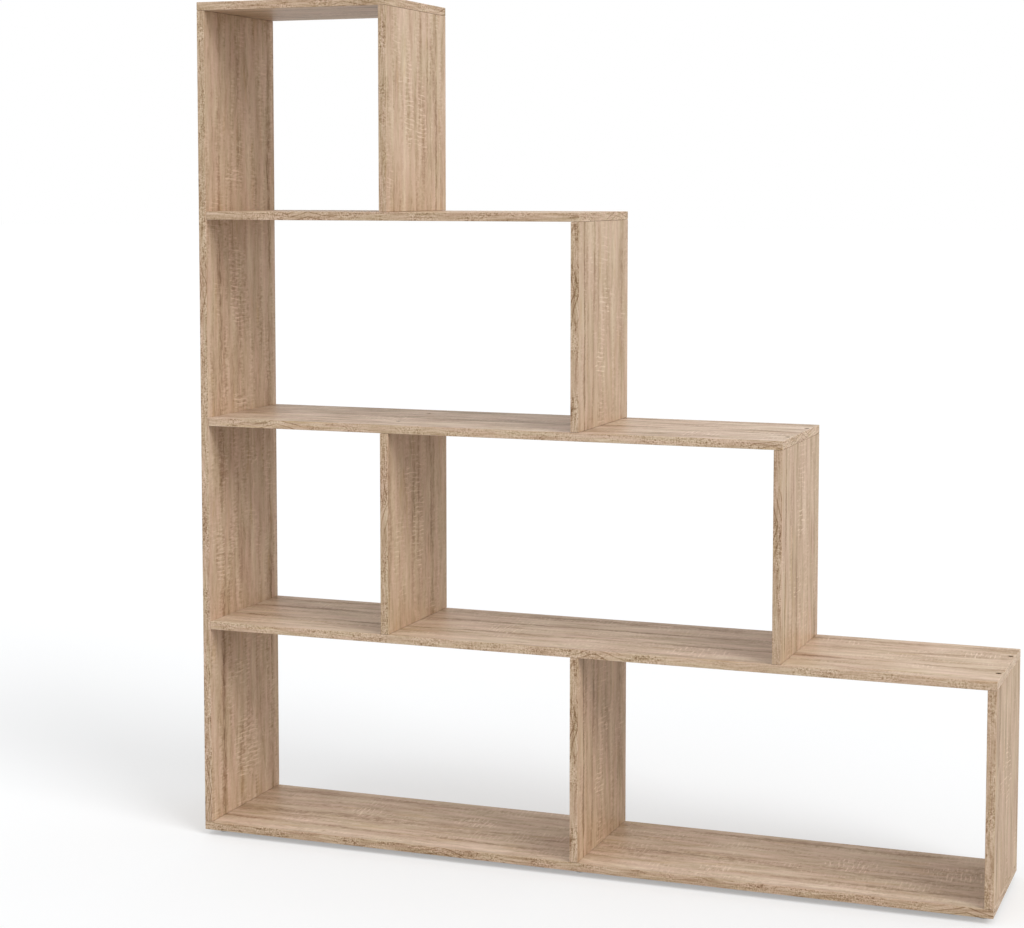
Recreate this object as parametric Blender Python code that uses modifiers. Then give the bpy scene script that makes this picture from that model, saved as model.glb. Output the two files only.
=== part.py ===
"""Stepped shelving unit, open at the front and the back.

Twelve boards of faced particleboard are butted together and drawn tight with
one-piece connecting screws.  Four tiers step down from the left side to the
right, one column at a time.  Metres, +Z up.  X runs along the width, with the
low end at +X, and the front faces -Y.  The origin is on the floor, under the
middle of the unit's bounding box.
"""

import math

import bmesh
import bpy
from mathutils import Matrix, Vector

# Driving sizes of the carcass
BOARD_THICKNESS = 0.016
DEPTH = 0.290
COMPARTMENT_WIDTH = 0.360
COMPARTMENT_HEIGHT = 0.380
TIERS = 4
ARRIS = 0.0009
ARRIS_STEPS = 2

# Hairline left between two boards, or a board and its glide, that butt
SEAT_GAP = 0.0003

# One-piece connecting screw: head, plain collar, threaded core and point
SCREW_LENGTH = 0.050
SCREW_HEAD_DIAMETER = 0.010
SCREW_HEAD_RIM = 0.0008
SCREW_HEAD_CONE = 0.0022
SCREW_COLLAR_DIAMETER = 0.0066
SCREW_COLLAR_LENGTH = 0.010
SCREW_CORE_DIAMETER = 0.0050
SCREW_POINT_LENGTH = 0.005
SCREW_POINT_DIAMETER = 0.0030
SCREW_SOCKET_ACROSS_FLATS = 0.0040
SCREW_SOCKET_DEPTH = 0.0026
SCREW_SINK = 0.0003
SCREW_EDGE_DISTANCE = 0.070
SCREW_SIDES = 10

# Fluted dowel, drawn as its outer cylinder with chamfered ends
DOWEL_DIAMETER = 0.008
DOWEL_LENGTH = 0.030
DOWEL_CHAMFER = 0.001
DOWEL_DEPTH_IN_SHELF = 0.011
DOWEL_SIDES = 12

# Nail-in plastic glide and its nail
GLIDE_DIAMETER = 0.020
GLIDE_HEIGHT = 0.0107
GLIDE_EDGE_ROUND = 0.0012
GLIDE_TAPER = 0.0010
GLIDE_RECESS_DIAMETER = 0.0070
GLIDE_RECESS_DEPTH = 0.0024
GLIDE_END_DISTANCE = 0.022
GLIDE_EDGE_DISTANCE = 0.038
GLIDE_SIDES = 16
NAIL_HEAD_DIAMETER = 0.0056
NAIL_HEAD_HEIGHT = 0.0012
NAIL_SHANK_DIAMETER = 0.0020
NAIL_BITE = 0.011
NAIL_POINT_LENGTH = 0.0025
NAIL_SIDES = 8

# Running clearance around everything that sits in a drilled hole
FIT_CLEARANCE = 0.0003
# Depth left free beyond the tip of a screw, dowel or nail
TIP_CLEARANCE = 0.001
# How far a cutter stands out of the face that it opens
CUTTER_OVERRUN = 0.002
# Points closer than this are one point
MERGE_DISTANCE = 0.00001

# Worked-out sizes
COLUMN_PITCH = COMPARTMENT_WIDTH + BOARD_THICKNESS
TIER_PITCH = COMPARTMENT_HEIGHT + BOARD_THICKNESS
WIDTH = TIERS * COLUMN_PITCH + BOARD_THICKNESS
LEFT = -WIDTH / 2
CARCASS_BASE = GLIDE_HEIGHT + SEAT_GAP
SCREW_OFFSET = DEPTH / 2 - SCREW_EDGE_DISTANCE
GLIDE_OFFSET = DEPTH / 2 - GLIDE_EDGE_DISTANCE
NAIL_HEAD_Z = GLIDE_RECESS_DEPTH - NAIL_HEAD_HEIGHT - SEAT_GAP
NAIL_LENGTH = CARCASS_BASE + NAIL_BITE - NAIL_HEAD_Z
SIDES_OF_JOINT = (("front", -1), ("rear", 1))

# Way that a fastener points, from its head to its tip
DOWN = Matrix.Identity(3)
UP = Matrix.Rotation(math.pi, 3, "X")
TO_RIGHT = Matrix.Rotation(-math.pi / 2, 3, "Y")


def clear_scene():
    """Removes the objects that the scene starts with."""
    for item in list(bpy.data.objects):
        bpy.data.objects.remove(item, do_unlink=True)


def new_collection(name):
    """A collection of the given name, linked to the scene."""
    group = bpy.data.collections.new(name)
    bpy.context.scene.collection.children.link(group)
    return group


def new_material(name, color, roughness, metallic=0.0):
    """A Principled material of one colour."""
    material = bpy.data.materials.new(name)
    material.use_nodes = True
    shader = material.node_tree.nodes["Principled BSDF"]
    shader.inputs["Base Color"].default_value = (*color, 1.0)
    shader.inputs["Roughness"].default_value = roughness
    shader.inputs["Metallic"].default_value = metallic
    material.diffuse_color = (*color, 1.0)
    return material


def column_x(column):
    """Left face of the upright that closes the given number of columns."""
    return LEFT + column * COLUMN_PITCH


def tier_floor_z(tier):
    """Underside of the board that the given tier (0 is the lowest) stands on."""
    return CARCASS_BASE + tier * TIER_PITCH


def columns_in(tier):
    """Columns that a tier is wide: one fewer for each step up."""
    return TIERS - tier


# Boards

def add_board(name, low, high):
    """A board between two corners, with its edges lightly rounded."""
    low, high = Vector(low), Vector(high)
    mesh = bpy.data.meshes.new(name)
    box = bmesh.new()
    bmesh.ops.create_cube(box, size=1.0)
    bmesh.ops.scale(box, vec=high - low, verts=box.verts)
    box.to_mesh(mesh)
    box.free()
    board = bpy.data.objects.new(name, mesh)
    board.location = (low + high) / 2
    board.data.materials.append(oak_decor)
    parts.objects.link(board)
    rounding = board.modifiers.new("arris", "BEVEL")
    rounding.width = ARRIS
    rounding.segments = ARRIS_STEPS
    rounding.limit_method = "ANGLE"
    return board


def add_level(name, tier, left):
    """The horizontal board under the given tier, from `left` to its last upright."""
    widest = columns_in(max(tier - 1, 0))
    right = column_x(widest) + BOARD_THICKNESS
    bottom = tier_floor_z(tier)
    return add_board(name, (left, -DEPTH / 2, bottom), (right, DEPTH / 2, bottom + BOARD_THICKNESS))


def add_upright(name, column, tier, top_tier):
    """An upright that stands on one tier's floor and reaches the board under another."""
    left = column_x(column)
    bottom = tier_floor_z(tier) + BOARD_THICKNESS + SEAT_GAP
    top = tier_floor_z(top_tier) - SEAT_GAP
    return add_board(name, (left, -DEPTH / 2, bottom), (left + BOARD_THICKNESS, DEPTH / 2, top))


def cut(board, cutter):
    """Takes the cutter's shape out of a board."""
    hole = board.modifiers.new(cutter.name, "BOOLEAN")
    hole.operation = "DIFFERENCE"
    hole.object = cutter
    hole.solver = "EXACT"


# Turned pieces

def turned_mesh(name, outline, sides, material=None):
    """A solid of revolution about Z, from (radius, height) points that run down its outer side.

    An outline that starts on the axis also ends there; any other is closed into a ring.
    """
    profile = bpy.data.meshes.new(name + "_profile")
    points = [(radius, 0.0, height) for radius, height in outline]
    edges = [(i, i + 1) for i in range(len(points) - 1)]
    if outline[0][0] > 0.0:
        edges.append((len(points) - 1, 0))
    profile.from_pydata(points, edges, [])
    blank = bpy.data.objects.new(name + "_blank", profile)
    cutters.objects.link(blank)
    turn = blank.modifiers.new("turn", "SCREW")
    turn.axis = "Z"
    turn.angle = 2 * math.pi
    turn.steps = sides
    turn.render_steps = sides
    turn.use_merge_vertices = True
    turn.merge_threshold = MERGE_DISTANCE
    return baked(blank, name, material)


def baked(item, name, material=None):
    """The item's mesh with its modifiers applied, made a mesh of its own."""
    bpy.context.view_layer.update()
    shown = item.evaluated_get(bpy.context.evaluated_depsgraph_get())
    mesh = bpy.data.meshes.new_from_object(shown)
    welded = bmesh.new()
    welded.from_mesh(mesh)
    bmesh.ops.remove_doubles(welded, verts=welded.verts, dist=MERGE_DISTANCE)
    welded.to_mesh(mesh)
    welded.free()
    mesh.name = name
    mesh.materials.clear()
    if material:
        mesh.materials.append(material)
    bpy.data.objects.remove(item, do_unlink=True)
    return mesh


def screw_outline():
    """A screw's outline from the middle of its head's face, at height zero, to its tip."""
    head = SCREW_HEAD_DIAMETER / 2
    collar = SCREW_COLLAR_DIAMETER / 2
    core = SCREW_CORE_DIAMETER / 2
    cone_end = -SCREW_HEAD_RIM - SCREW_HEAD_CONE
    collar_end = cone_end - SCREW_COLLAR_LENGTH
    return [
        (0.0, 0.0),
        (head, 0.0),
        (head, -SCREW_HEAD_RIM),
        (collar, cone_end),
        (collar, collar_end),
        (core, collar_end - (collar - core)),
        (core, SCREW_POINT_LENGTH - SCREW_LENGTH),
        (SCREW_POINT_DIAMETER / 2, -SCREW_LENGTH),
        (0.0, -SCREW_LENGTH),
    ]


def screw_hole_outline():
    """The hole for a screw: countersunk, wide through the first board, narrow in the second."""
    head = SCREW_HEAD_DIAMETER / 2 + FIT_CLEARANCE
    collar = SCREW_COLLAR_DIAMETER / 2 + FIT_CLEARANCE
    core = SCREW_CORE_DIAMETER / 2 + FIT_CLEARANCE
    cone_top = -SCREW_HEAD_RIM - FIT_CLEARANCE
    joint_line = SCREW_SINK - BOARD_THICKNESS - SEAT_GAP / 2
    bottom = -SCREW_LENGTH - TIP_CLEARANCE
    return [
        (0.0, CUTTER_OVERRUN),
        (head, CUTTER_OVERRUN),
        (head, cone_top),
        (collar, cone_top - SCREW_HEAD_CONE),
        (collar, joint_line),
        (core, joint_line),
        (core, bottom),
        (0.0, bottom),
    ]


def screw_mesh():
    """The screw, with the hexagonal socket sunk into its head."""
    blank_mesh = turned_mesh("screw_blank", screw_outline(), SCREW_SIDES)
    blank = bpy.data.objects.new("screw_blank", blank_mesh)
    cutters.objects.link(blank)
    socket_mesh = bpy.data.meshes.new("screw_socket")
    socket = bmesh.new()
    corner_radius = SCREW_SOCKET_ACROSS_FLATS / math.sqrt(3.0)
    height = SCREW_SOCKET_DEPTH + CUTTER_OVERRUN
    bmesh.ops.create_cone(
        socket, cap_ends=True, segments=6, radius1=corner_radius, radius2=corner_radius, depth=height)
    bmesh.ops.translate(socket, vec=(0.0, 0.0, CUTTER_OVERRUN - height / 2), verts=socket.verts)
    socket.to_mesh(socket_mesh)
    socket.free()
    cutter = bpy.data.objects.new("screw_socket", socket_mesh)
    cutters.objects.link(cutter)
    cut(blank, cutter)
    mesh = baked(blank, "connecting_screw", bronzed_steel)
    bpy.data.objects.remove(cutter, do_unlink=True)
    return mesh


def dowel_outline(grown, beyond):
    """A dowel's outline, standing half above and half below its middle."""
    radius = DOWEL_DIAMETER / 2 + grown
    half = DOWEL_LENGTH / 2 + beyond
    return [
        (0.0, half),
        (radius - DOWEL_CHAMFER, half),
        (radius, half - DOWEL_CHAMFER),
        (radius, DOWEL_CHAMFER - half),
        (radius - DOWEL_CHAMFER, -half),
        (0.0, -half),
    ]


def nail_outline(grown, beyond):
    """A nail's outline, head first, grown sideways for its hole."""
    head = NAIL_HEAD_DIAMETER / 2 + grown
    shank = NAIL_SHANK_DIAMETER / 2 + grown
    tip = -NAIL_LENGTH - beyond
    return [
        (0.0, 0.0),
        (head, 0.0),
        (head, -NAIL_HEAD_HEIGHT),
        (shank, -NAIL_HEAD_HEIGHT),
        (shank, tip + NAIL_POINT_LENGTH),
        (0.0, tip),
    ]


def glide_outline():
    """Half section of the glide, foot up: a tapered button with a recess and a hole for the nail.

    It runs down the outside, in across the face that meets the board, and back up the bore.
    """
    foot = GLIDE_DIAMETER / 2 - GLIDE_TAPER
    bore = NAIL_SHANK_DIAMETER / 2 + FIT_CLEARANCE
    recess = GLIDE_RECESS_DIAMETER / 2
    return [
        (recess, 0.0),
        (foot - GLIDE_EDGE_ROUND, 0.0),
        (foot, -GLIDE_EDGE_ROUND),
        (GLIDE_DIAMETER / 2, -GLIDE_HEIGHT),
        (bore, -GLIDE_HEIGHT),
        (bore, -GLIDE_RECESS_DEPTH),
        (recess, -GLIDE_RECESS_DEPTH),
    ]


def place(name, mesh, position, way, group=None):
    """Stands a copy of a turned piece at a position, pointing a way."""
    item = bpy.data.objects.new(name, mesh)
    item.matrix_world = Matrix.Translation(position) @ way.to_4x4()
    (group or parts).objects.link(item)
    return item


def place_cutter(name, mesh, position, way):
    """Stands a hole's shape at a position, hidden from the finished model."""
    item = place(name, mesh, position, way, cutters)
    item.hide_render = True
    item.display_type = "WIRE"
    return item


# Joints

def screw_joint(through, through_name, into, into_name, face, way):
    """Two screws through one board's face into the end of another, each in its own hole."""
    for side_name, side in SIDES_OF_JOINT:
        name = f"screw_{through_name}_to_{into_name}_{side_name}"
        head = Vector(face) + Vector((0.0, side * SCREW_OFFSET, 0.0))
        position = head + way @ Vector((0.0, 0.0, -SCREW_SINK))
        place(name, meshes["screw"], position, way)
        hole = place_cutter(name + "_hole", meshes["screw_hole"], position, way)
        cut(through, hole)
        cut(into, hole)


def dowel_joint(over, over_name, into, into_name, face):
    """Two blind dowels between a board's underside and the end of an upright."""
    for side_name, side in SIDES_OF_JOINT:
        name = f"dowel_{over_name}_to_{into_name}_{side_name}"
        drop = DOWEL_DEPTH_IN_SHELF - DOWEL_LENGTH / 2
        position = Vector(face) + Vector((0.0, side * SCREW_OFFSET, drop))
        place(name, meshes["dowel"], position, DOWN)
        hole = place_cutter(name + "_hole", meshes["dowel_hole"], position, DOWN)
        cut(over, hole)
        cut(into, hole)


def glide_with_nail(place_name, x, y):
    """A glide under the bottom panel, with the nail that holds it."""
    foot = Vector((x, y, 0.0))
    place(f"glide_{place_name}", meshes["glide"], foot, UP)
    nail_head = Vector((x, y, NAIL_HEAD_Z))
    place(f"glide_nail_{place_name}", meshes["nail"], nail_head, UP)
    hole = place_cutter(f"glide_nail_{place_name}_hole", meshes["nail_hole"], nail_head, UP)
    cut(levels[0], hole)


clear_scene()
parts = new_collection("stepped_shelving_unit")
cutters = new_collection("cutters")

oak_decor = new_material("oak_decor", (0.56, 0.42, 0.30), 0.55)
bronzed_steel = new_material("bronzed_steel", (0.20, 0.15, 0.10), 0.45, 1.0)
zinc_steel = new_material("zinc_steel", (0.42, 0.40, 0.37), 0.35, 1.0)
beech = new_material("beech_dowel", (0.62, 0.44, 0.27), 0.7)
white_plastic = new_material("white_plastic", (0.78, 0.77, 0.74), 0.45)

meshes = {
    "screw": screw_mesh(),
    "screw_hole": turned_mesh("screw_hole", screw_hole_outline(), SCREW_SIDES),
    "dowel": turned_mesh("dowel", dowel_outline(0.0, 0.0), DOWEL_SIDES, beech),
    "dowel_hole": turned_mesh("dowel_hole", dowel_outline(FIT_CLEARANCE, TIP_CLEARANCE), DOWEL_SIDES),
    "glide": turned_mesh("glide", glide_outline(), GLIDE_SIDES, white_plastic),
    "nail": turned_mesh("nail", nail_outline(0.0, 0.0), NAIL_SIDES, zinc_steel),
    "nail_hole": turned_mesh("nail_hole", nail_outline(FIT_CLEARANCE, TIP_CLEARANCE), NAIL_SIDES),
}
for key in ("screw", "dowel", "glide", "nail"):
    meshes[key].shade_smooth()
    meshes[key].set_sharp_from_angle(angle=math.radians(35.0))

# Horizontal boards, lowest first: the lowest and the highest run over the left side
level_names = ["bottom_panel"]
level_names += [f"shelf_over_tier_{tier}" for tier in range(1, TIERS)]
level_names.append("top_panel")
inside_left = LEFT + BOARD_THICKNESS + SEAT_GAP
levels = []
for tier, level_name in enumerate(level_names):
    outermost = tier in (0, TIERS)
    levels.append(add_level(level_name, tier, LEFT if outermost else inside_left))

# Uprights: one left side over the full height, and each tier's end panel and divider
left_side = add_upright("left_side_panel", 0, 0, TIERS)
for tier, level_name in enumerate(level_names):
    if tier in (0, TIERS):
        way = UP if tier == 0 else DOWN
        face_z = tier_floor_z(tier) + (BOARD_THICKNESS if tier else 0.0)
        face = (LEFT + BOARD_THICKNESS / 2, 0.0, face_z)
    else:
        way = TO_RIGHT
        face = (LEFT, 0.0, tier_floor_z(tier) + BOARD_THICKNESS / 2)
        screw_joint(left_side, "left_side", levels[tier], level_name, face, way)
        continue
    screw_joint(levels[tier], level_name, left_side, "left_side", face, way)

for tier in range(TIERS):
    floor_board, floor_name = levels[tier], level_names[tier]
    roof_board, roof_name = levels[tier + 1], level_names[tier + 1]
    floor_z = tier_floor_z(tier)
    roof_z = tier_floor_z(tier + 1)
    columns = columns_in(tier)

    end_name = f"end_panel_tier_{tier + 1}"
    end_panel = add_upright(end_name, columns, tier, tier + 1)
    end_x = column_x(columns) + BOARD_THICKNESS / 2
    screw_joint(floor_board, floor_name, end_panel, end_name, (end_x, 0.0, floor_z), UP)
    roof_face = (end_x, 0.0, roof_z + BOARD_THICKNESS)
    screw_joint(roof_board, roof_name, end_panel, end_name, roof_face, DOWN)

    # A tier of three columns or more has a divider at half its columns, rounded down
    if columns < 3:
        continue
    divider_name = f"divider_tier_{tier + 1}"
    divider = add_upright(divider_name, columns // 2, tier, tier + 1)
    divider_x = column_x(columns // 2) + BOARD_THICKNESS / 2
    screw_joint(floor_board, floor_name, divider, divider_name, (divider_x, 0.0, floor_z), UP)
    if tier == 0:
        dowel_joint(roof_board, roof_name, divider, divider_name, (divider_x, 0.0, roof_z))
    else:
        roof_face = (divider_x, 0.0, roof_z + BOARD_THICKNESS)
        screw_joint(roof_board, roof_name, divider, divider_name, roof_face, DOWN)

# Glides: a pair near each end of the bottom panel and a pair under its divider
glide_columns = (
    ("left", LEFT + GLIDE_END_DISTANCE),
    ("middle", column_x(TIERS // 2) + BOARD_THICKNESS / 2),
    ("right", LEFT + WIDTH - GLIDE_END_DISTANCE),
)
for column_name, x in glide_columns:
    for side_name, side in SIDES_OF_JOINT:
        glide_with_nail(f"{column_name}_{side_name}", x, side * GLIDE_OFFSET)
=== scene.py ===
"""Looks of the stepped shelving unit: its sawn-oak boards, screws, dowels, glides and nails.

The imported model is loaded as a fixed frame, in metres, +Z up. X runs along the width with
the low end at +X, the front faces -Y, and the origin is on the floor. The sections follow
the unit as it is put together, and the studio comes last.
"""
import math

import bpy
import numpy as np
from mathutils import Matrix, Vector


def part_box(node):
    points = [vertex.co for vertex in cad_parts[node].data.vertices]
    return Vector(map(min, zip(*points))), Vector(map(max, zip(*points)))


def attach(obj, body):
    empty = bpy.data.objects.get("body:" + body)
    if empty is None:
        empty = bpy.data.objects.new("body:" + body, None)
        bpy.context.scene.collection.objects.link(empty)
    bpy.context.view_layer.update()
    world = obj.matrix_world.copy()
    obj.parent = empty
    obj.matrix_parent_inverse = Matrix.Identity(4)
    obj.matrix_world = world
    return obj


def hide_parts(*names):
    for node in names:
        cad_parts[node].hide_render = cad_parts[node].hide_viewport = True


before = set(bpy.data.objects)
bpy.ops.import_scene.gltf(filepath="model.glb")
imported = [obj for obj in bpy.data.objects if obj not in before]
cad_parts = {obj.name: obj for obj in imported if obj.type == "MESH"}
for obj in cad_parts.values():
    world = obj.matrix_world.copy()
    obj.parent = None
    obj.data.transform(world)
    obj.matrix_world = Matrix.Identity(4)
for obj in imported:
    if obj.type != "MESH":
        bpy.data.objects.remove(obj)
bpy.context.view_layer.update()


# Bottom panel
# The lowest board, which everything stands on: 16 mm particleboard, faced on both sides with
# printed sawn-oak paper under satin resin, and banded on its edges with strips of the same
# print. It is sawn, banded, drilled from below for its screws, and given six glides.

OAK_TONES = (
    (0.00, (0.246, 0.149, 0.083)),
    (0.30, (0.386, 0.256, 0.159)),
    (0.62, (0.574, 0.421, 0.298)),
    (0.80, (0.666, 0.509, 0.378)),
    (1.00, (0.750, 0.591, 0.455)),
)
HUES = (
    (0.35, (1.000, 0.966, 0.970)),
    (0.65, (0.976, 1.000, 0.952)),
)
OCHRE = (
    (0.00, (1.000, 1.000, 1.000)),
    (1.00, (0.955, 0.930, 0.850)),
)
CHIP_TONES = (
    (0.00, (0.300, 0.190, 0.105)),
    (0.55, (0.500, 0.360, 0.225)),
    (1.00, (0.640, 0.500, 0.340)),
)
# How far noise moves along X, Y and Z for each unit of a seed
SEED_WAY = (1.0, 1.7, 2.3)


class Finish:
    """A material's node tree, built by calls that add nodes and hand back what they put out."""

    def __init__(self, name):
        self.material = bpy.data.materials.new(name)
        self.material.use_nodes = True
        self.tree = self.material.node_tree
        self.shader = self.tree.nodes["Principled BSDF"]

    def feed(self, socket, value):
        """Links an output to a socket, or gives the socket a value of its own."""
        if isinstance(value, bpy.types.NodeSocket):
            self.tree.links.new(value, socket)
        else:
            socket.default_value = value

    def dress(self, name, value):
        """Feeds one socket of the shader."""
        self.feed(self.shader.inputs[name], value)

    def add(self, kind, output, inputs, **settings):
        """A shader node of a kind, with its inputs by name, and the output that is wanted."""
        node = self.tree.nodes.new("ShaderNode" + kind)
        for setting, value in settings.items():
            setattr(node, setting, value)
        for name, value in inputs.items():
            self.feed(node.inputs[name], value)
        return node.outputs[output]

    def math(self, operation, *values):
        """A math node on one, two or three values."""
        node = self.tree.nodes.new("ShaderNodeMath")
        node.operation = operation
        for socket, value in zip(node.inputs, values):
            self.feed(socket, value)
        return node.outputs["Value"]

    def split(self, vector):
        """The three parts of a vector."""
        node = self.tree.nodes.new("ShaderNodeSeparateXYZ")
        self.feed(node.inputs[0], vector)
        return list(node.outputs)

    def moved(self, place, axis, distance):
        """A place moved by a distance along X, Y or Z."""
        way = self.add("CombineXYZ", "Vector", {axis: distance})
        return self.add("VectorMath", "Vector", {0: place, 1: way}, operation="ADD")

    def tinted(self, colour, tint):
        """A colour times a tint."""
        return self.add("VectorMath", "Vector", {0: colour, 1: tint}, operation="MULTIPLY")

    def blend(self, share, low, high):
        """The colour low where the share is 0, and high where it is 1."""
        node = self.tree.nodes.new("ShaderNodeMix")
        node.data_type = "RGBA"

        # Inputs 6 and 7 of a mix node are its colours, and output 2 is the mixed colour
        for index, value in ((0, share), (6, low), (7, high)):
            self.feed(node.inputs[index], value)
        return node.outputs[2]

    def step(self, value, start, end, low=0.0, high=1.0):
        """A smooth step of a value from low at start to high at end."""
        inputs = {"Value": value, "From Min": start, "From Max": end, "To Min": low, "To Max": high}
        return self.add("MapRange", "Result", inputs, interpolation_type="SMOOTHSTEP")

    def ramp(self, value, stops, interpolation="LINEAR"):
        """A colour for a value, from (position, colour) stops in rising order."""
        node = self.tree.nodes.new("ShaderNodeValToRGB")
        node.color_ramp.interpolation = interpolation
        elements = node.color_ramp.elements
        while len(elements) < len(stops):
            elements.new(1.0)
        for element, (position, color) in zip(elements, stops):
            element.position = position
            element.color = (*color, 1.0)
        self.feed(node.inputs["Fac"], value)
        return node.outputs["Color"]

    def grain(self, place, cell, seed, detail=2.0):
        """Noise from -0.5 to 0.5 whose cells measure so many metres along, across and through."""
        scale = tuple(1.0 / size for size in cell)
        start = tuple(seed * way for way in SEED_WAY)
        cells = self.add("Mapping", "Vector", {"Vector": place, "Location": start, "Scale": scale})
        noise = self.add("TexNoise", "Fac", {"Vector": cells, "Scale": 1.0, "Detail": detail})
        return self.math("SUBTRACT", noise, 0.5)

    def relief(self, height, strength, distance):
        """Raises the surface by a height that stands for so many metres."""
        inputs = {"Height": height, "Strength": strength, "Distance": distance}
        self.dress("Normal", self.add("Bump", "Normal", inputs))


# The layers of noise in the print. Each has its cell in metres, which is its length along the
# grain, across it and through the board, then how far it lies from the board's own seed, its
# detail, and the smooth step that it goes through, if any: its start, end, low and high.
LAYERS = {
    "wander": ((0.3000, 0.0450, 0.0100), 0.0, 2.0, None),
    "jag": ((0.0045, 0.0140, 0.0100), 1.9, 2.0, None),
    "fade": ((0.2000, 0.0300, 0.0100), 3.1, 2.0, (-0.22, 0.22, 0.30, 1.60)),
    "chop": ((0.0220, 0.0045, 0.0100), 4.3, 2.0, (-0.15, 0.15, 0.45, 1.55)),
    "mottle": ((0.1100, 0.0150, 0.0100), 5.3, 3.0, None),
    "broad": ((0.3000, 0.0420, 0.0100), 5.9, 1.0, None),
    "fleck": ((0.0180, 0.0050, 0.0100), 6.1, 2.0, None),
    "fibre": ((0.0300, 0.0017, 0.0100), 7.9, 3.0, None),
    "line": ((0.2000, 0.0036, 0.0100), 8.7, 2.0, (0.10, 0.22, 0.0, 1.0)),
    "pores": ((0.0160, 0.0010, 0.0100), 9.7, 2.0, (0.10, 0.22, 0.0, 1.0)),
    "shake": ((0.0600, 0.0600, 0.0100), 11.3, 2.0, None),
    "broken": ((0.0055, 0.0340, 0.0100), 13.1, 2.0, (-0.06, 0.08, 0.0, 1.0)),
    "ripple": ((0.0042, 0.0150, 0.0100), 15.9, 2.0, None),
    "scattered": ((0.1200, 0.0500, 0.0100), 17.7, 1.0, (0.04, 0.18, 0.0, 0.55)),
    "ragged": ((0.0500, 0.0250, 0.0100), 19.1, 2.0, None),
    "torn": ((0.1600, 0.0260, 0.0100), 21.3, 2.0, (-0.02, 0.14, 0.15, 0.95)),
    "hue": ((0.1000, 0.0220, 0.0100), 31.7, 2.0, None),
    "ochre": ((0.1100, 0.0220, 0.0100), 37.3, 2.0, (0.10, 0.22, 0.0, 1.0)),
    "band_drift": ((0.1000, 0.1000, 0.0300), 20.0, 2.0, None),
    "band_line": ((0.0500, 0.0500, 0.0017), 22.9, 3.0, None),
    "band_tick": ((0.0026, 0.0026, 0.0036), 23.7, 3.0, None),
    "band_fleck": ((0.0060, 0.0060, 0.0017), 24.7, 2.0, (0.02, 0.20, 0.0, 1.0)),
    "band_cloud": ((0.0500, 0.0500, 0.0060), 25.7, 2.0, None),
    "band_torn": ((0.0600, 0.0600, 0.0300), 26.1, 2.0, (-0.12, 0.12, 0.30, 1.25)),
}
# How much of a layer goes into the tone
SHARES = {
    "mottle": 0.85,
    "broad": 0.30,
    "fleck": 0.36,
    "fibre": 0.46,
    "line": -0.10,
    "pores": -0.22,
    "ridge": 0.36,
    "ripple": 0.66,
    "band_ring": -0.42,
    "band_line": 1.20,
    "band_cloud": 0.50,
    "band_fleck": -0.45,
    "band_tick": 1.28,
}
# How far the figure strays, in metres
JAG_REACH = 0.0070
WANDER_REACH = 0.028
BAND_DRIFT_REACH = 0.020
# From where to where in tone the fine figure calms down, and its strength on dark and pale
CALM = (-0.20, 0.15, 1.50, 0.45)
# The grey of plain ground between streaks, how near two stops are, and where the last can be
PLAIN = 0.5
STOP_GAP = 0.001
LAST_STOP = 0.998


def layer(oak, place, name, seed):
    """One layer of noise, from -0.5 to 0.5, or through its smooth step."""
    cell, offset, detail, smooth = LAYERS[name]
    noise = oak.grain(place, cell, seed + offset, detail)
    return oak.step(noise, *smooth) if smooth else noise


def streak_stops(streaks, depth):
    """Grey stops across a board, level on plain ground, and dipping to a point at each streak.

    A streak is (millimetres from the front edge, half its width, how much darker it is).
    """
    stops = [(0.0, (PLAIN,) * 3)]
    for middle, half, darker in sorted(streaks):
        for offset, tone in ((-half, PLAIN), (0, PLAIN - darker), (half, PLAIN)):
            position = max((middle + offset) / 1000 / depth, stops[-1][0] + STOP_GAP)
            stops.append((min(position, LAST_STOP), (tone,) * 3))
    stops.append((1.0, (PLAIN,) * 3))
    return stops


def face_tone(oak, place, back, depth, streaks, cut, seed):
    """Tone of the printed face round 0: streaks, mottle, flecks, fibres and fine dark pores.

    The saw tore the fibres a little sideways every few millimetres, so all of it is jagged.
    """
    jag = oak.math("MULTIPLY", layer(oak, place, "jag", seed), JAG_REACH)
    place = oak.moved(place, "Y", jag)
    back = oak.math("ADD", back, jag)
    wander = oak.math("MULTIPLY", layer(oak, place, "wander", seed), WANDER_REACH)
    across = oak.math("DIVIDE", oak.math("ADD", back, wander), depth)
    streak = oak.math("SUBTRACT", oak.ramp(across, streak_stops(streaks, depth), "EASE"), PLAIN)
    fade = layer(oak, place, "fade", seed)
    chop = layer(oak, place, "chop", seed)
    tone = oak.math("MULTIPLY", streak, oak.math("MULTIPLY", fade, chop))
    for name in ("mottle", "broad"):
        tone = oak.math("MULTIPLY_ADD", layer(oak, place, name, seed), SHARES[name] * cut[0], tone)

    # Pale ground is calm and fine, and the dark streaks are coarse
    fibre = layer(oak, place, "fibre", seed)
    line = layer(oak, place, "line", seed)
    pores = layer(oak, place, "pores", seed)
    fine = oak.math("MULTIPLY", layer(oak, place, "fleck", seed), SHARES["fleck"])
    for name, noise in (("fibre", fibre), ("line", line), ("pores", pores)):
        fine = oak.math("MULTIPLY_ADD", noise, SHARES[name], fine)
    start, end, on_dark, on_pale = CALM
    calm = oak.step(tone, start, end, on_dark * cut[1], on_pale * cut[1])
    return oak.math("MULTIPLY_ADD", fine, calm, tone), fibre, pores


RIDGE_SPACING = 0.0086
# In turns of the sine, for each metre across the board and for each unit of the shake's noise
RIDGE_SLANT = 11.0
RIDGE_SHAKE = 1.6
# From where to where a crest rises on the sine, and a patch fades, where its edge is at 1
RIDGE_CREST = (0.35, 0.98)
PATCH_EDGE = (0.5, 1.2)
PATCH_RAGGEDNESS = 2.5


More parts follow.
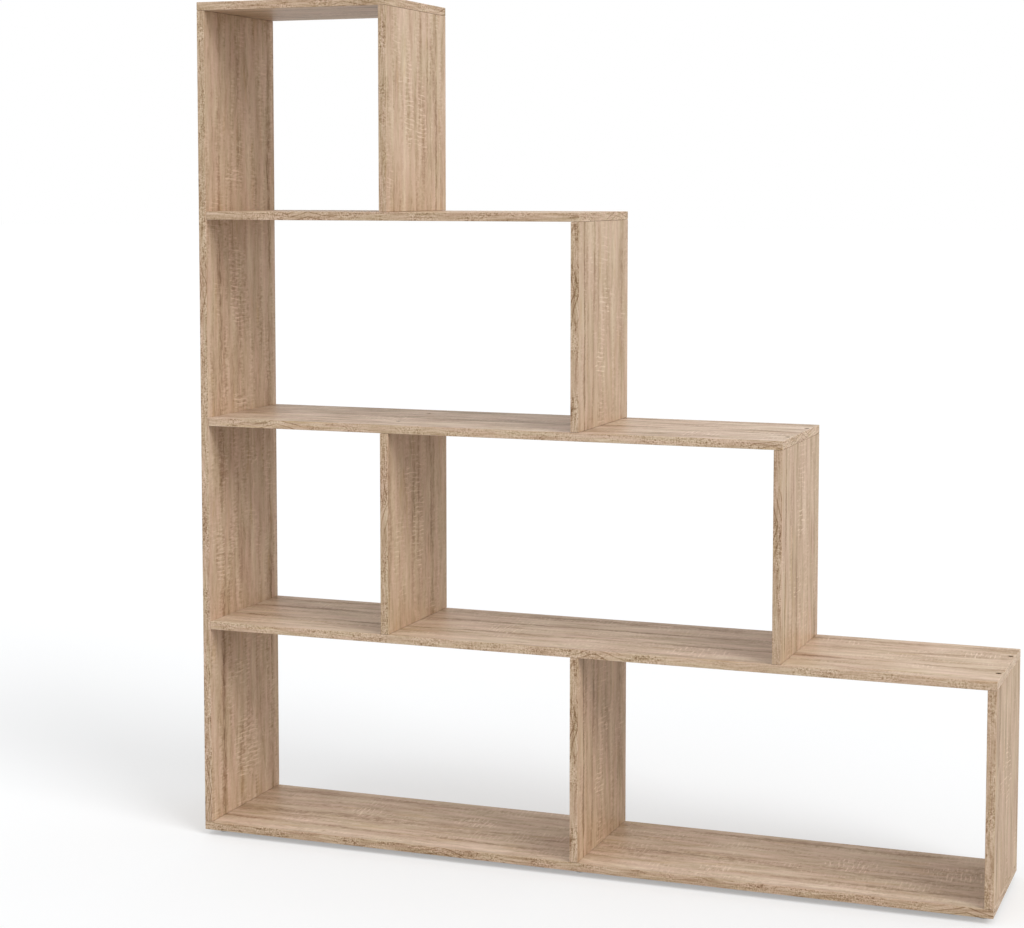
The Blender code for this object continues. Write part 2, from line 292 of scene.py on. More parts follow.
def saw_marks(oak, place, along, back, sawn, seed):
    """Marks that the saw left across the grain: even pale ridges and finer ripples in patches.

    A patch is (middle along, middle from the front, half its length, half its width), in
    millimetres; fainter ones are scattered by noise. Ripples alone also fill long torn zones.
    The ridges are the crests of a sine along the grain, which slants and shakes a little.
    """
    ragged = layer(oak, place, "ragged", seed)
    patch = layer(oak, place, "scattered", seed)
    for middle_along, middle_back, half_length, half_width in sawn:
        far_along = oak.math("DIVIDE", oak.math("SUBTRACT", along, middle_along / 1000), half_length / 1000)
        far_back = oak.math("DIVIDE", oak.math("SUBTRACT", back, middle_back / 1000), half_width / 1000)
        far = oak.math("ADD", oak.math("POWER", far_along, 2.0), oak.math("POWER", far_back, 2.0))
        far = oak.math("MULTIPLY_ADD", ragged, -PATCH_RAGGEDNESS, far)
        patch = oak.math("MAXIMUM", patch, oak.step(far, *PATCH_EDGE, 1.0, 0.0))
    shake = layer(oak, place, "shake", seed)
    slant = oak.math("MULTIPLY_ADD", back, RIDGE_SLANT, oak.math("DIVIDE", along, RIDGE_SPACING))
    turns = oak.math("MULTIPLY_ADD", shake, RIDGE_SHAKE, slant)
    crest = oak.step(oak.math("SINE", oak.math("MULTIPLY", turns, 2 * math.pi)), *RIDGE_CREST)
    ridge = oak.math("MULTIPLY", crest, layer(oak, place, "broken", seed))
    ripple = layer(oak, place, "ripple", seed)
    torn = oak.math("MAXIMUM", patch, layer(oak, place, "torn", seed))
    return oak.math("MULTIPLY", ridge, patch), oak.math("MULTIPLY", ripple, torn)


PRINT_REPEAT = 0.98
RING_SPACING = 0.0090
# How many metres a ring's line rises for each metre along the strip
RING_RISE = 0.26
# How far from its middle a ring's line fades, and how far from the peak all of them do
RING_EDGE = (0.0003, 0.0013)
PEAK_EDGE = (0.03, 0.08)


def band_tone(oak, place, run, through, peak, seed):
    """Tone of an edge band round 0: lines that drift across it, flecks, and saw ticks.

    Where the strip was cut through the side of a ring, its lines rise to a peak.
    """
    drift = oak.math("MULTIPLY", layer(oak, place, "band_drift", seed), BAND_DRIFT_REACH)
    level = oak.math("ADD", through, drift)
    drifted = oak.moved(place, "Z", drift)
    away = oak.math("PINGPONG", oak.math("SUBTRACT", run, peak), PRINT_REPEAT / 2)
    ring = oak.math("PINGPONG", oak.math("MULTIPLY_ADD", away, RING_RISE, level), RING_SPACING / 2)
    ring = oak.step(ring, *RING_EDGE, 1.0, 0.0)
    near = oak.step(away, *PEAK_EDGE, 1.0, 0.0)
    tone = oak.math("MULTIPLY", oak.math("MULTIPLY", ring, near), SHARES["band_ring"])
    for name in ("band_line", "band_cloud"):
        tone = oak.math("MULTIPLY_ADD", layer(oak, drifted, name, seed), SHARES[name], tone)

    # Flecks and ticks come in patches, and leave calm ground between
    torn = layer(oak, place, "band_torn", seed)
    fleck = oak.math("MULTIPLY", layer(oak, drifted, "band_fleck", seed), SHARES["band_fleck"])
    tick = layer(oak, place, "band_tick", seed)
    broken = oak.math("MULTIPLY_ADD", tick, SHARES["band_tick"], fleck)
    return oak.math("MULTIPLY_ADD", broken, torn, tone)


FACING_THICKNESS = 0.00035


def in_core(oak, parts, size):
    """1 in a drilled wall, which lies deeper than the facing from every side, and else 0."""
    near = []
    for part, width in zip(parts, size):
        near.append(oak.math("MINIMUM", part, oak.math("SUBTRACT", width, part)))
    nearest = oak.math("MINIMUM", near[0], oak.math("MINIMUM", near[1], near[2]))
    return oak.math("GREATER_THAN", nearest, FACING_THICKNESS)


def print_colour(oak, place, tone, on_face, painted_light_tint, seed):
    """Colour of the print for its tone.

    Here and there it turns a little pinker or greener, or ochre in a narrow patch, and on the
    faces it takes a painted light tint, warmer on uprights and bluer on tops.
    """
    hue = oak.math("ADD", layer(oak, place, "hue", seed), 0.5)
    colour = oak.tinted(oak.ramp(tone, OAK_TONES), oak.ramp(hue, HUES))
    colour = oak.tinted(colour, oak.ramp(layer(oak, place, "ochre", seed), OCHRE))
    # The painted light tint: warmer where the uprights stand in warm shade or glancing light, bluer where
    # the tops mirror the sky
    return oak.tinted(colour, oak.blend(on_face, (1.0, 1.0, 1.0, 1.0), (*painted_light_tint, 1.0)))


# The part of a normal that points along the board on an end, and through it on a face, and
# the largest part of one on an arris, which is painted a little paler as a painted highlight
END_TURN = 0.70
FACE_TURN = (0.70, 0.72)
ARRIS_TURN = (0.90, 0.97)
ARRIS_PAINTED_HIGHLIGHT = 0.05
CHIPS_PER_METRE = 420.0
RESIN_GLOSS = 0.06
RESIN_ROUGHNESS = 0.42
FIBRE_ROUGHNESS = 0.15
PORE_ROUGHNESS = 0.12
CORE_ROUGHNESS = 0.40
RIDGE_HEIGHT = 0.60
PORE_HEIGHT = -1.0
PRINT_RELIEF = 0.25
PRINT_DEPTH = 0.0002


def oak_finish(node, grain_axis, seed, streaks, sawn, peak, face_level=0.62, band_level=0.60,
               cut=(1.0, 1.0, 1.0), painted_light_tint=(1.0, 1.0, 1.0)):
    """Makes the finish of one board, and puts it on that board.

    The print runs along the grain axis. Both faces, the bands and the arrises are told apart
    by their normals, and a drilled wall, under the facing, shows the chips of the core. The
    peak is how far along the band its ring lines rise, in metres. The levels are the mean
    tones of the faces and the bands. The cut is how strong the mottle, the fibres and the
    torn ripples of the faces are. The painted light tint goes on the faces: warmer for the
    shade and glancing light on the uprights, bluer for the sky that the tops mirror.
    """
    oak = Finish(node + "_sawn_oak")
    low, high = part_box(node)
    size = high - low
    order = (0, 1, 2) if grain_axis == "X" else (2, 1, 0)
    corner = tuple(-value for value in low)
    point = oak.add("Mapping", "Vector", {"Vector": oak.add("TexCoord", "Object", {}), "Location": corner})
    parts = oak.split(point)
    along, back, through = (parts[axis] for axis in order)
    facing = oak.split(oak.add("TexCoord", "Normal", {}))
    turned = [oak.math("ABSOLUTE", facing[axis]) for axis in order]

    # The sheet on the underside, or on a left face, is laid the other way round
    far_face = oak.math("LESS_THAN", through, size[order[2]] / 2)
    swap = oak.math("MULTIPLY_ADD", back, -2.0, size.y)
    back_laid = oak.math("MULTIPLY_ADD", far_face, swap, back)
    place = oak.add("CombineXYZ", "Vector", {"X": along, "Y": back_laid, "Z": through})
    face, fibre, pores = face_tone(oak, place, back_laid, size.y, streaks, cut, seed)
    ridge, ripple = saw_marks(oak, place, along, back_laid, sawn, seed)
    face = oak.math("MULTIPLY_ADD", ripple, SHARES["ripple"] * cut[2], face)
    face = oak.math("ADD", oak.math("MULTIPLY_ADD", ridge, SHARES["ridge"], face), face_level)

    # On an end the band runs from front to back
    on_end = oak.math("GREATER_THAN", turned[0], END_TURN)
    run = oak.math("MULTIPLY_ADD", on_end, oak.math("SUBTRACT", back, along), along)
    strip = oak.add("CombineXYZ", "Vector", {"X": run, "Y": on_end, "Z": through})
    band = oak.math("ADD", band_tone(oak, strip, run, through, peak, seed), band_level)
    on_face = oak.step(turned[2], *FACE_TURN)
    tone = oak.math("MULTIPLY_ADD", oak.math("SUBTRACT", face, band), on_face, band)

    # The arrises are painted a little paler, a painted highlight where light catches their rounding
    flat = oak.math("MAXIMUM", turned[0], oak.math("MAXIMUM", turned[1], turned[2]))
    arris = oak.step(flat, *ARRIS_TURN, 1.0, 0.0)
    tone = oak.math("MULTIPLY_ADD", arris, ARRIS_PAINTED_HIGHLIGHT, tone)
    colour = print_colour(oak, place, tone, on_face, painted_light_tint, seed)

    # Under the facing, glued chips
    core = in_core(oak, parts, size)
    chip = oak.add("TexVoronoi", "Color", {"Vector": point, "Scale": CHIPS_PER_METRE})
    oak.dress("Base Color", oak.blend(core, colour, oak.ramp(chip, CHIP_TONES)))

    # Satin resin, a little deader in the pores
    oak.dress("Specular IOR Level", RESIN_GLOSS)
    rough = oak.math("MULTIPLY_ADD", fibre, FIBRE_ROUGHNESS, RESIN_ROUGHNESS)
    rough = oak.math("MULTIPLY_ADD", pores, PORE_ROUGHNESS, rough)
    oak.dress("Roughness", oak.math("MULTIPLY_ADD", core, CORE_ROUGHNESS, rough))
    height = oak.math("MULTIPLY_ADD", ridge, RIDGE_HEIGHT, fibre)
    height = oak.math("MULTIPLY_ADD", pores, PORE_HEIGHT, height)
    oak.relief(height, PRINT_RELIEF, PRINT_DEPTH)

    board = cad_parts[node]
    board.data.materials.clear()
    board.data.materials.append(oak.material)


BOTTOM_STREAKS = ((20, 22, -0.24), (55, 9, 0.16), (70, 7, -0.08), (120, 38, 0.16), (190, 28, 0.06),
                  (262, 12, 0.22))
BOTTOM_SAWN = ((270, 165, 45, 30), (500, 175, 50, 35), (1010, 60, 30, 20), (1240, 165, 50, 40),
               (1430, 170, 60, 45))
# The bottom panel's bluer tint paints the sky mirrored in its top
oak_finish("bottom_panel", "X", 1.0, BOTTOM_STREAKS, BOTTOM_SAWN, peak=0.495, band_level=0.57,
           cut=(0.95, 1.00, 1.15), painted_light_tint=(1.0, 1.01, 1.04))


# Glides and their nails
# Six low buttons of moulded white plastic, one near each corner of the bottom panel and two
# under its middle. A steel nail in the recess of each holds it, and never meets the floor.

GLIDE_HEIGHT = 0.0107
GLIDE_FOOT_RADIUS = 0.0090
GLIDE_TOP_RADIUS = 0.0100
GLIDE_ROUND = 0.0012
GLIDE_RIM = 0.0010
RECESS_RADIUS = 0.0035
RECESS_DEPTH = 0.0024
RECESS_LIP = 0.0004
BORE_RADIUS = 0.0013
GLIDE_SIDES = 64
MOULDED_WHITE = (0.780, 0.770, 0.740)
SCUFFED_WHITE = (0.520, 0.500, 0.460)
PLASTIC_ROUGHNESS = 0.42
SCUFF_ROUGHNESS = 0.30
SCUFF_HEIGHT = (0.0001, 0.0012)
SCUFF_CELL = (0.0020, 0.0006, 0.0020)
SCUFF_EDGE = (-0.1, 0.2)
ORANGE_PEEL_CELL = (0.0009, 0.0009, 0.0009)
ORANGE_PEEL_RELIEF = 0.20

NAIL_HEAD_RADIUS = 0.0028
NAIL_HEAD_HEIGHT = 0.0012
NAIL_HEAD_EDGE = 0.0002
NAIL_DOME = 0.0006
NAIL_SHANK_RADIUS = 0.0010
NAIL_GRIPS = (0.0030, 0.0042, 0.0054)
NAIL_GRIP_WAIST = 0.86
NAIL_GRIP_DROP = 0.0002
NAIL_GRIP_LENGTH = 0.0005
NAIL_POINT_LENGTH = 0.0025
NAIL_POINT_SHARE = 0.55
NAIL_TIP_LENGTH = 0.0010
NAIL_TIP_RADIUS = 0.0001
NAIL_SIDES = 32
NAIL_DRAWN_CELL = (0.0004, 0.0004, 0.0040)
ZINC = (0.46, 0.45, 0.43)
ZINC_RIM = (1.0, 1.0, 1.0)
ZINC_ROUGHNESS = 0.38
PLATING_CELL = (0.004, 0.004, 0.004)
PLATING_CLOUD = 0.45
DRAWN_LINE_ROUGHNESS = 0.30
DRAWN_LINE_RELIEF = 0.15
SMALL_RELIEF_DEPTH = 0.0001
CRISP_EDGE = math.radians(32.0)


def turned_shape(profile, sides, swell=1.0, looped=False):
    """Points and faces of a closed turned piece: rings along a profile by sides round an axis.

    Side j of ring i stands profile radius[i] times swell[i, j] from the axis, at height[i] and at
    j shares of a full turn. The solid lies to the left of the profile's way. A looped profile
    closes on itself, and any other one is closed by a flat face at each end.
    """
    radius, height = np.array(profile).T
    angle = np.arange(sides) * 2 * np.pi / sides
    reach = radius[:, None] * np.ones(sides) * swell
    level = np.broadcast_to(height[:, None], reach.shape)
    points = np.stack((reach * np.cos(angle), reach * np.sin(angle), level), axis=-1).reshape(-1, 3)
    rings = len(radius)
    steps = rings if looped else rings - 1
    ring, side = np.meshgrid(np.arange(steps), np.arange(sides), indexing="ij")
    here = ring * sides
    above = (ring + 1) % rings * sides
    beside = (side + 1) % sides
    quads = np.stack((here + side, here + beside, above + beside, above + side), axis=-1)
    faces = quads.reshape(-1, 4).tolist()
    if not looped:
        faces += [list(range(sides))[::-1], list(range((rings - 1) * sides, rings * sides))]
    return points, faces


def fit_piece(name, points, faces, material, node):
    """Makes a smooth piece with crisp edges of points and faces, which stands for a CAD node."""
    mesh = bpy.data.meshes.new(name)
    mesh.from_pydata(points.tolist(), [], faces)
    mesh.polygons.foreach_set("use_smooth", [True] * len(mesh.polygons))
    mesh.set_sharp_from_angle(angle=CRISP_EDGE)
    mesh.materials.append(material)
    piece = bpy.data.objects.new(name, mesh)
    bpy.context.scene.collection.objects.link(piece)
    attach(piece, "root")
    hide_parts(node)


def moulded_plastic():
    """White moulded plastic with a fine orange peel, scuffed grey round its foot."""
    plastic = Finish("white_moulded_plastic")
    spot = plastic.add("TexCoord", "Object", {})
    foot = plastic.step(plastic.split(spot)[2], *SCUFF_HEIGHT, 1.0, 0.0)
    scuff = plastic.grain(spot, SCUFF_CELL, seed=1.0, detail=4.0)
    worn = plastic.math("MULTIPLY", foot, plastic.step(scuff, *SCUFF_EDGE))
    plastic.dress("Base Color", plastic.ramp(worn, ((0.0, MOULDED_WHITE), (1.0, SCUFFED_WHITE))))
    plastic.dress("Roughness", plastic.math("MULTIPLY_ADD", worn, SCUFF_ROUGHNESS, PLASTIC_ROUGHNESS))
    orange_peel = plastic.grain(spot, ORANGE_PEEL_CELL, seed=8.0)
    plastic.relief(orange_peel, ORANGE_PEEL_RELIEF, SMALL_RELIEF_DEPTH)
    return plastic.material


def plated_steel(name, colour, rim, roughness, line_cell):
    """Plated steel: fine drawn lines in its gloss, and a plating that clouds a little.

    The rim is the tint of what it mirrors at a low angle.
    """
    steel = Finish(name)
    spot = steel.add("TexCoord", "Object", {})
    cloud = steel.grain(spot, PLATING_CELL, seed=3.0)
    shade = steel.math("MULTIPLY_ADD", cloud, PLATING_CLOUD, 1.0)
    steel.dress("Base Color", steel.add("VectorMath", "Vector", {0: colour, 3: shade}, operation="SCALE"))
    lines = steel.grain(spot, line_cell, seed=5.0, detail=3.0)
    steel.dress("Roughness", steel.math("MULTIPLY_ADD", lines, DRAWN_LINE_ROUGHNESS, roughness))
    steel.dress("Metallic", 1.0)
    steel.dress("Specular Tint", (*rim, 1.0))
    steel.relief(lines, DRAWN_LINE_RELIEF, SMALL_RELIEF_DEPTH)
    return steel.material


def glide_profile():
    """Up the recess's wall from its mouth's lip, over the rounded foot, and up the outside."""
    turn = np.linspace(0.0, np.pi / 2, 7)
    round_radius = GLIDE_FOOT_RADIUS - GLIDE_ROUND * (1 - np.sin(turn))
    round_height = GLIDE_ROUND * (1 - np.cos(turn))
    mouth = [(RECESS_RADIUS, RECESS_DEPTH), (RECESS_RADIUS, RECESS_LIP), (RECESS_RADIUS + RECESS_LIP, 0.0)]
    outside = [(GLIDE_TOP_RADIUS, GLIDE_HEIGHT - GLIDE_RIM), (GLIDE_TOP_RADIUS, GLIDE_HEIGHT)]
    bore = [(BORE_RADIUS, GLIDE_HEIGHT), (BORE_RADIUS, RECESS_DEPTH)]
    return mouth + np.stack((round_radius, round_height), axis=1).tolist() + outside + bore


def nail_profile(length):
    """A domed head, three grip rings on the shank, and a drawn point.

    The dome's height is a circle's: 1 less the root of 1 less the square of the radius's share.
    """
    share = np.linspace(0.12, 1.0, 6)
    dome_height = NAIL_DOME * (1 - np.sqrt(1.0001 - share ** 2))
    profile = np.stack((NAIL_HEAD_RADIUS * share, dome_height), axis=1).tolist()
    profile += [
        (NAIL_HEAD_RADIUS, NAIL_HEAD_HEIGHT - NAIL_HEAD_EDGE),
        (NAIL_HEAD_RADIUS - NAIL_HEAD_EDGE, NAIL_HEAD_HEIGHT),
        (NAIL_SHANK_RADIUS, NAIL_HEAD_HEIGHT),
    ]
    for grip in NAIL_GRIPS:
        profile += [
            (NAIL_SHANK_RADIUS, grip),
            (NAIL_SHANK_RADIUS * NAIL_GRIP_WAIST, grip + NAIL_GRIP_DROP),
            (NAIL_SHANK_RADIUS, grip + NAIL_GRIP_LENGTH),
        ]
    profile += [
        (NAIL_SHANK_RADIUS, length - NAIL_POINT_LENGTH),
        (NAIL_SHANK_RADIUS * NAIL_POINT_SHARE, length - NAIL_TIP_LENGTH),
        (NAIL_TIP_RADIUS, length),
    ]
    return profile


plastic_finish = moulded_plastic()
nail_finish = plated_steel("zinc_plated_nail", ZINC, ZINC_RIM, ZINC_ROUGHNESS, NAIL_DRAWN_CELL)
glide_points, glide_faces = turned_shape(glide_profile(), GLIDE_SIDES, looped=True)
for column in ("left", "middle", "right"):
    for row in ("front", "rear"):
        glide = f"glide_{column}_{row}"
        low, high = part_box(glide)
        centre = np.array(((low.x + high.x) / 2, (low.y + high.y) / 2, low.z))
        fit_piece(glide + "_moulding", glide_points + centre, glide_faces, plastic_finish,
                  glide)
        nail = f"glide_nail_{column}_{row}"
        low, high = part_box(nail)
        nail_points, nail_faces = turned_shape(nail_profile(high.z - low.z), NAIL_SIDES)
        nail_foot = np.array((centre[0], centre[1], low.z))
        fit_piece(nail + "_drawn", nail_points + nail_foot, nail_faces, nail_finish,
                  nail)


# Left side panel
# The tall upright that all the levels hang on: the same faced board with its grain upright,
# standing on the bottom panel and screwed from its outer face into three shelves.

LEFT_STREAKS = ((12, 10, -0.08), (27, 6, 0.09), (52, 12, 0.26), (105, 8, 0.06), (135, 24, 0.08),
                (178, 16, -0.14), (207, 11, 0.02), (236, 14, -0.11), (262, 9, 0.28), (281, 8, -0.20))
LEFT_SAWN = ((1254, 117, 26, 36), (1049, 120, 85, 32), (814, 130, 18, 30), (700, 180, 20, 24),
             (524, 45, 60, 20), (276, 115, 28, 32), (119, 150, 66, 62))
# The left side's warmer tint paints the warm shade on it
oak_finish("left_side_panel", "Z", 2.0, LEFT_STREAKS, LEFT_SAWN, peak=0.065, face_level=0.64,
           cut=(0.90, 0.90, 1.50), painted_light_tint=(1.0, 0.975, 0.960))


# Dividers and end panels
# Short uprights between two levels: two dividers that carry the long spans, and one panel
# that closes the right end of each tier. All are one board high; three share one cut of print.

SHARED_STREAKS = ((31, 5, 0.40), (50, 8, 0.12), (64, 6, -0.08), (84, 9, 0.19), (115, 14, 0.14),
                  (205, 25, -0.08), (250, 14, 0.17))
SHARED_SAWN = ((235, 160, 34, 40), (118, 125, 26, 32))
END_1_STREAKS = ((37, 16, 0.14), (90, 25, -0.05), (147, 10, 0.12), (234, 12, 0.10))
END_1_SAWN = ((200, 150, 60, 50),)
END_2_STREAKS = ((31, 6, 0.26), (84, 7, 0.16), (118, 11, 0.14), (175, 30, -0.06), (258, 15, 0.16))
END_4_STREAKS = ((34, 7, 0.20), (58, 6, -0.08), (84, 12, -0.12), (145, 12, 0.12), (165, 5, 0.12),
                 (194, 9, 0.15), (212, 5, 0.12), (237, 6, 0.26), (256, 10, -0.10))
END_4_SAWN = ((187, 108, 88, 24), (170, 172, 80, 26))
DIVIDER_2_STREAKS = ((6, 5, 0.20), (30, 16, -0.08), (118, 14, 0.13), (148, 18, 0.10), (193, 8, 0.06),
                     (211, 17, 0.22), (243, 15, -0.07))
DIVIDER_2_SAWN = ((280, 105, 30, 30), (190, 145, 120, 30))
# A peak before the strip's start. The print repeats, so it shows only on a strip over 0.70 m
EARLY_PEAK = -0.20

# The end panels' faces are printed darker the lower they stand, from end_panel_tier_4 down to
# end_panel_tier_1, which paints light that falls off towards the floor
oak_finish("end_panel_tier_1", "Z", 6.0, END_1_STREAKS, END_1_SAWN, peak=EARLY_PEAK,
           face_level=0.52, cut=(1.10, 0.80, 0.50), painted_light_tint=(1.0, 0.982, 0.955))
oak_finish("end_panel_tier_2", "Z", 7.0, END_2_STREAKS, SHARED_SAWN, peak=0.250,
           face_level=0.58, band_level=0.57, cut=(0.96, 0.50, 0.85))
oak_finish("end_panel_tier_3", "Z", 8.0, SHARED_STREAKS, SHARED_SAWN, peak=0.250,
           cut=(0.84, 0.56, 0.92))
oak_finish("end_panel_tier_4", "Z", 9.0, END_4_STREAKS, END_4_SAWN, peak=EARLY_PEAK,
           face_level=0.65, cut=(0.92, 0.88, 1.10))
# The dividers' warmer tints, like end_panel_tier_1's above, paint the warm shade and glancing light on them
oak_finish("divider_tier_1", "Z", 8.0, SHARED_STREAKS, SHARED_SAWN, peak=0.250,
           cut=(1.05, 0.72, 1.25), painted_light_tint=(1.0, 0.965, 0.925))
oak_finish("divider_tier_2", "Z", 11.0, DIVIDER_2_STREAKS, DIVIDER_2_SAWN, peak=0.250,
           cut=(0.85, 0.92, 1.05), painted_light_tint=(1.0, 0.975, 0.945))


# Dowels
# Two fluted beech dowels, glued upright between the lowest divider and the shelf above it, so
# that no screw shows on that shelf. The flutes let air and glue out of the blind holes.

DOWEL_RADIUS = 0.0040
DOWEL_HALF_LENGTH = 0.0150
DOWEL_CHAMFER = 0.0010
DOWEL_PLAIN_END = 0.0008
FLUTES = 20
SIDES_PER_FLUTE = 6
FLUTE_DEPTH = 0.06
BEECH_TONES = (
    (0.0, (0.40, 0.25, 0.13)),
    (1.0, (0.72, 0.54, 0.35)),
)
BEECH_TONE = 0.55
BEECH_ROUGHNESS = 0.62
RAY_CELL = (0.0006, 0.0006, 0.0060)
RAY_SHARE = 1.20
BEECH_FLECK_CELL = (0.0004, 0.0004, 0.0016)
BEECH_FLECK_EDGE = (0.08, 0.16)
BEECH_FLECK_SHARE = -0.30


def fluted_beech():
    """Pale beech with its grain along the dowel, and short dark flecks."""
    beech = Finish("fluted_beech")
    spot = beech.add("TexCoord", "Object", {})
    ray = beech.grain(spot, RAY_CELL, seed=2.0, detail=3.0)
    fleck = beech.step(beech.grain(spot, BEECH_FLECK_CELL, seed=6.0), *BEECH_FLECK_EDGE)
    tone = beech.math("MULTIPLY_ADD", ray, RAY_SHARE, BEECH_TONE)
    tone = beech.math("MULTIPLY_ADD", fleck, BEECH_FLECK_SHARE, tone)
    beech.dress("Base Color", beech.ramp(tone, BEECH_TONES))
    beech.dress("Roughness", BEECH_ROUGHNESS)
    return beech.material


def dowel_shape():
    """Points and faces of a dowel round its middle.

    Its radius loses a raised cosine of the angle, one wave to a flute, except near its ends.
    """
    body = DOWEL_HALF_LENGTH - DOWEL_CHAMFER
    fluted = body - DOWEL_PLAIN_END
    end_radius = DOWEL_RADIUS - DOWEL_CHAMFER

    # Height, radius, and how deep the flutes are there
    rings = (
        (-DOWEL_HALF_LENGTH, end_radius, 0.0),
        (-body, DOWEL_RADIUS, 0.0),
        (-fluted, DOWEL_RADIUS, 1.0),
        (0.0, DOWEL_RADIUS, 1.0),
        (fluted, DOWEL_RADIUS, 1.0),
        (body, DOWEL_RADIUS, 0.0),
        (DOWEL_HALF_LENGTH, end_radius, 0.0),
    )
    height, radius, depth = np.array(rings).T
    sides = FLUTES * SIDES_PER_FLUTE
    flute = (0.5 - 0.5 * np.cos(np.arange(sides) * 2 * np.pi / SIDES_PER_FLUTE)) * FLUTE_DEPTH
    return turned_shape(np.stack((radius, height), axis=1), sides, 1.0 - depth[:, None] * flute)


beech_finish = fluted_beech()
dowel_points, dowel_faces = dowel_shape()
for row in ("front", "rear"):
    dowel = f"dowel_shelf_over_tier_1_to_divider_tier_1_{row}"
    low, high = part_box(dowel)
    fit_piece(dowel + "_fluted", dowel_points + np.array((low + high) / 2), dowel_faces, beech_finish,
              dowel)


# Shelves
# Three levels that butt against the left side and lie on the uprights of the tier below, each
# one column shorter than the last. Their right ends are banded and show the screw heads.

SHELF_1_STREAKS = ((30, 28, -0.11), (97, 11, 0.24), (128, 18, -0.06), (187, 11, 0.22), (262, 28, 0.18))
SHELF_1_SAWN = ((960, 60, 60, 45), (560, 120, 40, 30), (1446, 204, 48, 24))
SHELF_2_STREAKS = ((16, 16, -0.15), (60, 14, 0.06), (145, 28, 0.16), (215, 25, -0.04), (268, 16, 0.16))
SHELF_2_SAWN = ((330, 120, 60, 40), (960, 70, 50, 40))
SHELF_3_STREAKS = ((20, 18, -0.10), (90, 15, 0.10), (160, 10, 0.12), (230, 14, 0.10))
SHELF_3_SAWN = ((220, 150, 60, 40),)

# The lower two shelves' bluer tints paint the sky mirrored in their tops
oak_finish("shelf_over_tier_1", "X", 3.0, SHELF_1_STREAKS, SHELF_1_SAWN, peak=EARLY_PEAK, band_level=0.69,
           cut=(1.05, 1.00, 1.05), painted_light_tint=(1.0, 1.015, 1.05))
oak_finish("shelf_over_tier_2", "X", 4.0, SHELF_2_STREAKS, SHELF_2_SAWN, peak=0.145, band_level=0.70,
           cut=(1.70, 1.00, 1.00), painted_light_tint=(0.975, 1.0, 1.06))
oak_finish("shelf_over_tier_3", "X", 5.0, SHELF_3_STREAKS, SHELF_3_SAWN, peak=0.215, band_level=0.63)


# Top panel
# The short board that caps the one column of the highest tier. It lies on the left side and
# on the highest end panel, and takes two screws down into each.

TOP_STREAKS = ((30, 20, -0.06), (85, 12, 0.12), (150, 20, 0.10), (240, 12, 0.15))
TOP_SAWN = ((200, 130, 60, 40),)
# The top panel's faces are printed darker, which paints the shade on its underside
oak_finish("top_panel", "X", 12.0, TOP_STREAKS, TOP_SAWN, peak=0.305, face_level=0.54, band_level=0.62)


# Connecting screws
# Thirty-two one-piece connecting screws of plated steel draw the boards together, two to a
# joint. The countersunk head has a hexagonal socket, then come a plain collar and a thread.

SCREW_LENGTH = 0.0500
HEAD_RADIUS = 0.0050
HEAD_RIM = 0.0008
HEAD_CONE = 0.0022
HEAD_EDGE = 0.00015
COLLAR_RADIUS = 0.0033
COLLAR_LENGTH = 0.0100
COLLAR_EDGE = 0.0003
CORE_RADIUS = 0.0022
CREST_RADIUS = 0.0034
THREAD_PITCH = 0.0030
THREAD_HALF_WIDTH = 0.30
THREAD_LOWEST = 0.30
RINGS_PER_PITCH = 10
POINT_LENGTH = 0.0050
POINT_SHARE = 0.55
TIP_LENGTH = 0.0002
TIP_SHARE = 0.35
SOCKET_HALF_FLATS = 0.0020
SOCKET_DEPTH = 0.0026
SOCKET_LEAD = 0.0002
SOCKET_MOUTH = 1.12
SOCKET_POINT_DEPTH = 0.0004
SOCKET_POINT_SHARE = 0.3
SCREW_SIDES = 24
KEY_TURN = 2.4
# The bronze is dark partly for its plating and partly as painted shade, the shade of the holes the heads
# sit in, and its rim is dimmed so the heads mirror little at a low angle
PAINTED_SHADE_BRONZE = (0.130, 0.095, 0.062)
BRONZE_RIM = (0.30, 0.25, 0.20)
BRONZE_ROUGHNESS = 0.50
SCREW_DRAWN_CELL = (0.0006, 0.0006, 0.0006)


